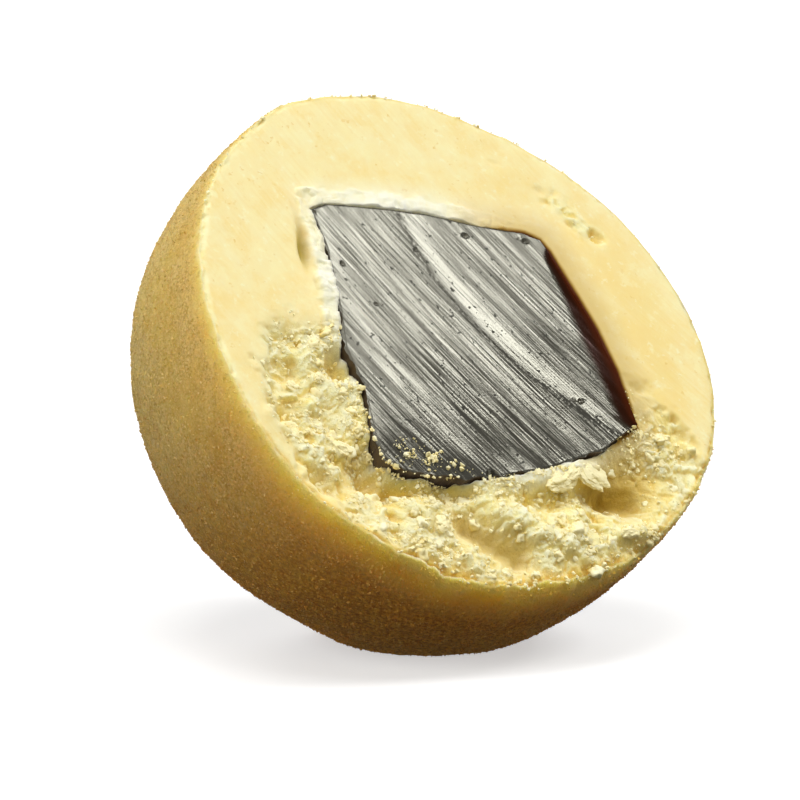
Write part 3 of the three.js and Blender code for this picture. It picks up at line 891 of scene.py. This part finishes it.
def make_clods(material):
    """Clods of chocolate on the tear's crumbly stretches."""
    across, up = random_on_cut(CLOD_TRIES, CLOD_OUTER, CLOD_SPAN)
    chance = torn_share(across, up) * ramp(past_core(across, up), 0.1, 0.4)
    chance *= crumbly_share(across, up) ** 4
    keep = np.flatnonzero(rng.uniform(0, 1, CLOD_TRIES) < CLOD_CHANCE * chance)[:CLOD_LIMIT]
    size = random_sizes(len(keep), *CLOD_SIZE)
    places = on_cut(across[keep], up[keep], -CLOD_SINK * size)
    shape = ball_shape(3)
    corners = len(shape[0])
    points, faces = scattered(np.zeros_like(places), np.ones(len(places)), shape, 0.0)
    seats = np.repeat(places, corners, axis=0)
    sizes = np.repeat(size, corners)
    points *= (1 + 0.5 * layered(points * 1.7 + seats * 3.1, 1.0, 151))[:, None]
    points = points * sizes[:, None] * (1, 1, 0.8) + seats
    height = (points[:, 2] - seats[:, 2]) / sizes
    # each clod's tone falls towards its lower side: painted shade
    tone = np.repeat(rng.uniform(0.5, 1, len(places)), corners) * ramp(height, -0.3, 0.7)
    piece = add_mesh("clods", on_floor(to_world(points)), faces.tolist(), material, {"tone": tone})
    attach(piece, "root")


def make_powder(material):
    """Fine grains all over the outside of the ball."""
    z = rng.uniform(-1, math.cos(math.radians(POWDER_TILT)), POWDER_TRIES)
    clock = rng.uniform(0, 2 * math.pi, POWDER_TRIES)
    degrees = np.degrees(clock)
    places = outside_point(clock, np.arccos(z))
    rim = np.minimum(cut_height(places[:, 0], places[:, 1]), 0.0)
    below = np.maximum(rim - places[:, 2], 0)
    margin = 0.1 - 0.13 * beside(degrees, TOP_RIM)
    keep = (places[:, 2] < rim - margin) & (to_world(places)[:, 2] > 0.03)
    chance = 0.15 + 0.85 * below / (1.5 * rim_softness(degrees))
    keep &= rng.uniform(0, 1, POWDER_TRIES) < chance
    places = places[keep]
    size = random_sizes(len(places), *POWDER_SIZE)
    points, faces = scattered(places, size, (GRAIN_POINTS, GRAIN_FACES), 0.3)
    values = {
        "tone": rng.uniform(0, 1, len(places)),
        "away": (below / powder_start(degrees))[keep],
        "front": beside(degrees[keep], LOW_FRONT),
        "low": lowness(places),
    }
    values = {key: np.repeat(value, len(GRAIN_POINTS)) for key, value in values.items()}
    piece = add_mesh("powder", on_floor(to_world(points)), faces.tolist(), material, values, smooth=False)
    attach(piece, "root")


# Materials
# the colour sockets of a mix node
MIX_A, MIX_B, MIX_RESULT = 6, 7, 2


class Graph:
    """Short ways to add shader nodes to a material or a world."""

    def __init__(self, owner):
        owner.use_nodes = True
        self.owner = owner
        self.nodes, self.links = owner.node_tree.nodes, owner.node_tree.links

    def fill(self, node, inputs):
        for key, value in inputs.items():
            if isinstance(value, bpy.types.NodeSocket):
                self.links.new(value, node.inputs[key])
            else:
                node.inputs[key].default_value = value

    def shade(self, inputs):
        """The material, with these inputs of its shader set."""
        self.fill(self.nodes["Principled BSDF"], inputs)
        return self.owner

    def add(self, kind, inputs, output=0, **settings):
        """An output of a new node."""
        node = self.nodes.new("ShaderNode" + kind)
        for key, value in settings.items():
            setattr(node, key, value)
        self.fill(node, inputs)
        return node.outputs[output]

    def value(self, name):
        return self.add("Attribute", {}, "Fac", attribute_name=name)

    def pattern(self, place, scale, detail, roughness):
        inputs = {"Vector": place, "Scale": scale, "Detail": detail, "Roughness": roughness}
        return self.add("TexNoise", inputs, "Fac")

    def noise(self, size_mm, detail=3.0, roughness=0.55):
        return self.pattern(self.add("TexCoord", {}, "Object"), 1 / MM / size_mm, detail, roughness)

    def streaks(self, size_mm, detail, roughness, across, along):
        """Noise over a place that is given by two values in millimetres."""
        return self.pattern(self.add("CombineXYZ", {0: across, 1: along}), 1 / size_mm, detail, roughness)

    def math(self, how, a, b):
        return self.add("Math", {0: a, 1: b}, operation=how)

    def plus(self, a, b):
        return self.math("ADD", a, b)

    def minus(self, a, b):
        return self.math("SUBTRACT", a, b)

    def times(self, a, b):
        return self.math("MULTIPLY", a, b)

    def weighted(self, *parts):
        """The sum of values, each times its weight."""
        total = 0.0
        for value, weight in parts:
            total = self.plus(total, self.times(value, weight))
        return total

    def spread(self, value, low, high, to_low=0.0, to_high=1.0, curve="SMOOTHSTEP"):
        inputs = {"Value": value, "From Min": low, "From Max": high, "To Min": to_low, "To Max": to_high}
        return self.add("MapRange", inputs, "Result", interpolation_type=curve)

    def dot(self, vector, towards):
        return self.add("VectorMath", {0: vector, 1: tuple(towards)}, "Value", operation="DOT_PRODUCT")

    def facing(self, towards):
        """How far the surface faces a direction, from -1 to 1."""
        return self.dot(self.add("NewGeometry", {}, "Normal"), towards)

    def mix(self, share, a, b):
        a, b = (c if isinstance(c, bpy.types.NodeSocket) else (*c, 1.0) for c in (a, b))
        return self.add("Mix", {0: share, MIX_A: a, MIX_B: b}, MIX_RESULT, data_type="RGBA")

    def layers(self, base, *layers):
        """A colour with layers over it, each a share and a colour."""
        for share, colour in layers:
            base = self.mix(share, base, colour)
        return base

    def bump(self, height, distance_mm, strength):
        inputs = {"Height": height, "Distance": distance_mm * MM, "Strength": strength}
        return self.add("Bump", inputs, "Normal")


def new_graph(name):
    return Graph(bpy.data.materials.new(name))


def outside_colour(g):
    """The dusted outside: amber and clear below the rim with a painted glow just under it, powdery further
    down, brown underneath from brown dust and painted shade.
    """
    away = g.value("away")
    amber = g.layers(
        g.mix(g.spread(g.noise(2.4, 4), 0.38, 0.66), AMBER, AMBER_DEEP),
        (g.minus(1.0, g.value("front")), AMBER_SIDE),
        # painted glow: lighter amber just below the rim
        (g.spread(away, 0.05, 0.7, 0.5, 0.0), AMBER_RIM_GLOW),
    )
    powdery = g.layers(
        g.mix(g.spread(g.noise(0.12, 2, 0.7), 0.33, 0.67), POWDER_DARK, POWDER_LIGHT),
        (g.spread(g.noise(3.2, 4, 0.6), 0.44, 0.62, 0.0, 0.55), POWDER_GOLD),
    )
    under = g.mix(g.spread(g.noise(0.16, 4, 0.7), 0.36, 0.66), UNDER_DARK, UNDER_LIGHT)
    patchy = g.times(g.spread(away, 0.6, 3.6, 0.1, 1.0), g.spread(g.noise(0.4), 0.3, 0.6, 0.5, 1.0))
    bare = g.times(g.spread(g.noise(1.8, 4), 0.54, 0.74), g.spread(away, 2.0, 6.0, 0.05, 0.5))
    # darker and browner low down: partly brown dust, partly painted shade
    low = g.times(g.value("low"), g.spread(away, 0.8, 2.8, 0.1, 0.95))
    return g.layers(amber, (patchy, powdery), (bare, BARE), (low, under))


def smooth_colour(g):
    """The smooth cut: cream, mottled, with flecks, pores and the knife's faint marks."""
    drag, along = g.value("drag"), g.value("along")
    mottle = g.noise(1.2, 5, 0.65)
    smear = g.streaks(1.0, 3, 0.6, drag, g.times(along, 0.3))
    pore = g.times(g.spread(g.noise(0.26), 0.62, 0.72), g.spread(g.noise(2.2, 2), 0.45, 0.6))
    knife = g.streaks(0.22, 3, 0.6, drag, g.times(along, 0.06))
    patch = g.spread(g.noise(3.0), 0.42, 0.62, 0.02, 0.16)
    return g.layers(
        g.mix(g.value("right"), CREAM_LEFT, CREAM_RIGHT),
        (g.times(g.spread(g.noise(2.6, 4), 0.4, 0.65), 0.4), CREAM_CLOUD),
        (g.spread(mottle, 0.5, 0.64, 0.0, 0.5), MOTTLE_LIGHT),
        (g.spread(mottle, 0.36, 0.5, 0.45, 0.0), MOTTLE_DARK),
        (g.spread(g.noise(0.3), 0.6, 0.74, 0.0, 0.5), FLECK),
        (g.spread(smear, 0.48, 0.68, 0.0, 0.2), SMEAR),
        (g.times(pore, 0.6), PORE),
        (g.times(g.spread(knife, 0.45, 0.65), patch), KNIFE_LIGHT),
        (g.times(g.spread(knife, 0.4, 0.5, 1.0, 0.0), patch), KNIFE_DARK),
    )


def cut_colour(g, torn):
    """The cut: cream where the knife passed; where it tore, paler crests that are partly painted highlight,
    and yellower hollows and down-facing sides that are painted shade.
    """
    relief = g.plus(g.value("relief"), g.times(g.noise(0.3), 0.2))
    # paler crests are partly painted highlight; golden hollows and sides facing down along the cut are
    # painted shade
    broken = g.layers(
        g.mix(g.value("right"), BROKEN_LEFT, BROKEN_RIGHT),
        (g.spread(relief, 0.06, 0.24), BROKEN_HIGH),
        (g.spread(relief, -0.06, 0.1, 0.8, 0.0), BROKEN_HOLLOW_SHADE),
        (g.spread(g.facing(-UP), 0.0, 0.6, 0.0, 0.6), BROKEN_SHADE),
    )
    stain = g.value("stain")
    return g.layers(
        g.mix(torn, smooth_colour(g), broken),
        # painted shade: sunk places, waxy spots, pits, the groove and the cream next to the core
        (g.times(g.value("sunk_shade"), 0.5), SUNK_SHADE),
        (g.times(g.value("waxy_and_shade"), 0.95), WAXY_AND_SHADE),
        (g.times(g.value("pit_shade"), 0.8), PIT_SHADE),
        (g.times(g.value("pale"), g.spread(g.noise(0.5), 0.3, 0.55, 0.75, 1.0)), LIP),
        (g.times(g.value("groove"), 0.9), GROOVE_SHADE),
        (g.times(g.value("near"), 0.8), NEAR_CORE_SHADE),
        (g.spread(stain, 0.05, 0.6), STAIN_PALE),
        (g.spread(stain, 0.4, 0.95), STAIN_DARK),
    )


def coating_material():
    g = new_graph("cream_chocolate")
    dust, torn = g.value("dust"), g.value("torn")
    # painted glow: the rim turns gold at the low front
    rim = g.times(g.spread(dust, 0.15, 0.5), g.spread(dust, 0.55, 0.9, 0.7, 0.0))
    colour = g.layers(
        g.mix(dust, cut_colour(g, torn), outside_colour(g)),
        (g.spread(g.value("edge"), 0.15, 1.0, 0.0, 0.7), RIM_LIGHT),
        (g.times(rim, g.value("front")), RIM_GOLD_GLOW),
    )
    smooth = g.minus(1.0, g.math("MAXIMUM", dust, torn))
    height = g.weighted(
        (g.noise(0.16, 3, 0.7), g.plus(g.times(dust, 1.4), 0.1)),
        (g.noise(0.12, 4, 0.65), g.times(torn, 0.6)),
        (g.noise(0.55, 4, 0.6), g.times(smooth, 0.3)),
    )
    return g.shade({
        "Base Color": colour,
        "Roughness": g.plus(0.45, g.weighted((dust, 0.4), (torn, 0.25))),
        "Specular IOR Level": 0.05,
        "Subsurface Weight": g.plus(0.65, g.times(dust, 0.3)),
        "Subsurface Radius": g.mix(dust, SPREAD_CUT, SPREAD_OUTSIDE),
        "Subsurface Scale": g.spread(dust, 0.4, 1.0, SPREAD_NEAR * MM, SPREAD_FAR * MM),
        "Normal": g.bump(height, 0.12, 0.9),
    })


def licorice_material():
    g = new_graph("licorice_black")
    drag, swath, dull = g.value("drag"), g.value("swath"), g.value("dull")
    along = g.times(g.value("along"), 0.035)
    band = g.minus(g.spread(swath, 1.35, 1.6), g.spread(swath, 2.0, 2.4))
    scratch = g.minus(g.spread(swath, 0.95, 1.1), g.spread(swath, 1.2, 1.36))
    scratch = g.times(scratch, g.spread(g.noise(0.12), 0.4, 0.58))
    speck = g.spread(g.noise(0.2, 1), 0.68, 0.73)
    mark = g.weighted(
        (g.streaks(0.1, 1.5, 0.7, drag, along), 0.48),
        (g.streaks(0.4, 2, 0.6, drag, along), 0.2),
        (g.streaks(1.6, 2, 0.5, swath, along), 0.18),
        (g.noise(0.06, 2, 0.6), 0.17),
        (band, 0.08),
        (scratch, -0.13),
        (speck, -0.25),
        (dull, -0.04),
        (g.value("corner"), -0.08),
    )
    soft = g.plus(0.39, g.times(mark, 0.18))
    mark = g.weighted((mark, dull), (soft, g.minus(1.0, dull)))
    clear = g.spread(g.value("clear"), 0.0, 0.45)
    wall = g.value("wall")
    # lighter along shiny marks: partly a grey knife smear, partly painted sheen
    body = g.layers(
        g.mix(g.spread(mark, *SHINY_MARKS), LICORICE_DARK, LICORICE_SMEAR_AND_SHEEN),
        (clear, CLEAR_BROWN),
        # painted glow: red of light shining through the thin right edge
        (g.spread(g.value("clear"), 0.55, 1.0), CLEAR_EDGE_GLOW),
        (wall, LICORICE_SIDE),
    )
    rough = g.weighted((g.spread(mark, *SHINY_MARKS, 0.9, 0.13), g.minus(1.0, clear)), (clear, 0.16))
    scored = g.times(mark, g.minus(0.045, g.times(clear, 0.04)))
    return g.shade({
        "Base Color": body,
        "Roughness": g.math("MAXIMUM", rough, g.times(wall, 0.6)),
        "Specular IOR Level": 1.0,
        "Specular Tint": g.mix(clear, SHINE, CLEAR_SHINE),
        "Normal": g.bump(g.plus(scored, g.value("warp")), 1.0, 1.0),
    })


def crumb_material():
    g = new_graph("chocolate_crumb")
    colour = g.layers(
        g.mix(g.value("tone"), CRUMB_DARK, CRUMB_LIGHT),
        # sides facing down along the cut painted golden: painted shade
        (g.spread(g.facing(-UP), 0.1, 0.8, 0.0, 0.45), CRUMB_SHADE),
        (g.times(g.spread(g.noise(0.1), 0.5, 0.7), 0.3), CRUMB_SPOT),
    )
    return g.shade({
        "Base Color": colour,
        "Roughness": 0.6,
        "Specular IOR Level": 0.08,
        "Normal": g.bump(g.noise(0.08), 0.03, 0.7),
    })


def powder_material():
    g = new_graph("dusting_powder")
    tone = g.value("tone")
    # light grains turn golden brown low down: partly brown dust, partly painted shade
    light = g.mix(g.value("low"), GRAIN_LIGHT, GRAIN_LOW)
    colour = g.layers(
        outside_colour(g),
        (g.spread(tone, 0.0, 0.45, 0.25, 0.0), GRAIN_DARK),
        (g.spread(tone, 0.6, 1.0, 0.0, 0.6), light),
    )
    return g.shade({"Base Color": colour, "Roughness": 0.6, "Specular IOR Level": 0.12})


# Stage
def make_sky():
    g = Graph(bpy.data.worlds.new("studio"))
    scene.world = g.owner
    towards = g.dot(g.add("TexCoord", {}, "Generated"), SKY_TOWARDS)
    g.fill(g.nodes["Background"], {"Strength": g.spread(towards, *SKY_FADE, *SKY_STRENGTH, "LINEAR")})


def make_floor():
    h = FLOOR_HALF
    mesh = bpy.data.meshes.new("floor")
    mesh.from_pydata([(-h, -h, 0), (h, -h, 0), (h, h, 0), (-h, h, 0)], [], [(0, 1, 2, 3)])
    mesh.materials.append(new_graph("pale_floor").shade({
        "Base Color": (FLOOR_GREY, FLOOR_GREY, FLOOR_GREY, 1),
        "Roughness": 0.6,
        "Emission Color": (1, 1, 1, 1),
        "Emission Strength": FLOOR_GLOW,
    }))
    floor = bpy.data.objects.new("floor", mesh)
    scene.collection.objects.link(floor)
    floor.visible_diffuse = False


def make_lights():
    for name, towards, size, brightness, colour in LIGHTS:
        towards = np.array(towards) / np.linalg.norm(towards)
        data = bpy.data.lights.new(name, "AREA")
        data.shape = "SQUARE"
        data.size = size
        data.energy = brightness * math.pi * size * size
        data.color = colour
        light = bpy.data.objects.new(name, data)
        light.location = (BALL_CENTRE * MM + towards * LIGHT_DISTANCE).tolist()
        light.rotation_euler = Vector((-towards).tolist()).to_track_quat("-Z", "Y").to_euler()
        scene.collection.objects.link(light)


def make_camera():
    elevation = math.radians(CAMERA_ELEVATION)
    up = np.array([0, math.sin(elevation), math.cos(elevation)])
    back = np.array([0, -math.cos(elevation), math.sin(elevation)])
    aside = (BALL_PIXEL[0] - PHOTO_SIZE / 2) / PX_PER_MM
    above = (PHOTO_SIZE / 2 - BALL_PIXEL[1]) / PX_PER_MM
    place = BALL_CENTRE + CAMERA_DISTANCE * back - above * up - (aside, 0, 0)
    data = bpy.data.cameras.new("camera")
    data.sensor_width = SENSOR_MM
    data.lens = SENSOR_MM * CAMERA_DISTANCE * PX_PER_MM / PHOTO_SIZE
    data.clip_start = 0.01
    camera = bpy.data.objects.new("camera", data)
    camera.location = (place * MM).tolist()
    camera.rotation_euler = (math.pi / 2 - elevation, 0, 0)
    scene.collection.objects.link(camera)
    scene.camera = camera


make_coating(coating_material())
make_licorice(licorice_material())
crumbs = crumb_material()
make_crumbs(crumbs)
make_clods(crumbs)
make_powder(powder_material())

scene.view_settings.view_transform = "Standard"
scene.view_settings.look = "None"
make_sky()
make_floor()
make_lights()
make_camera()
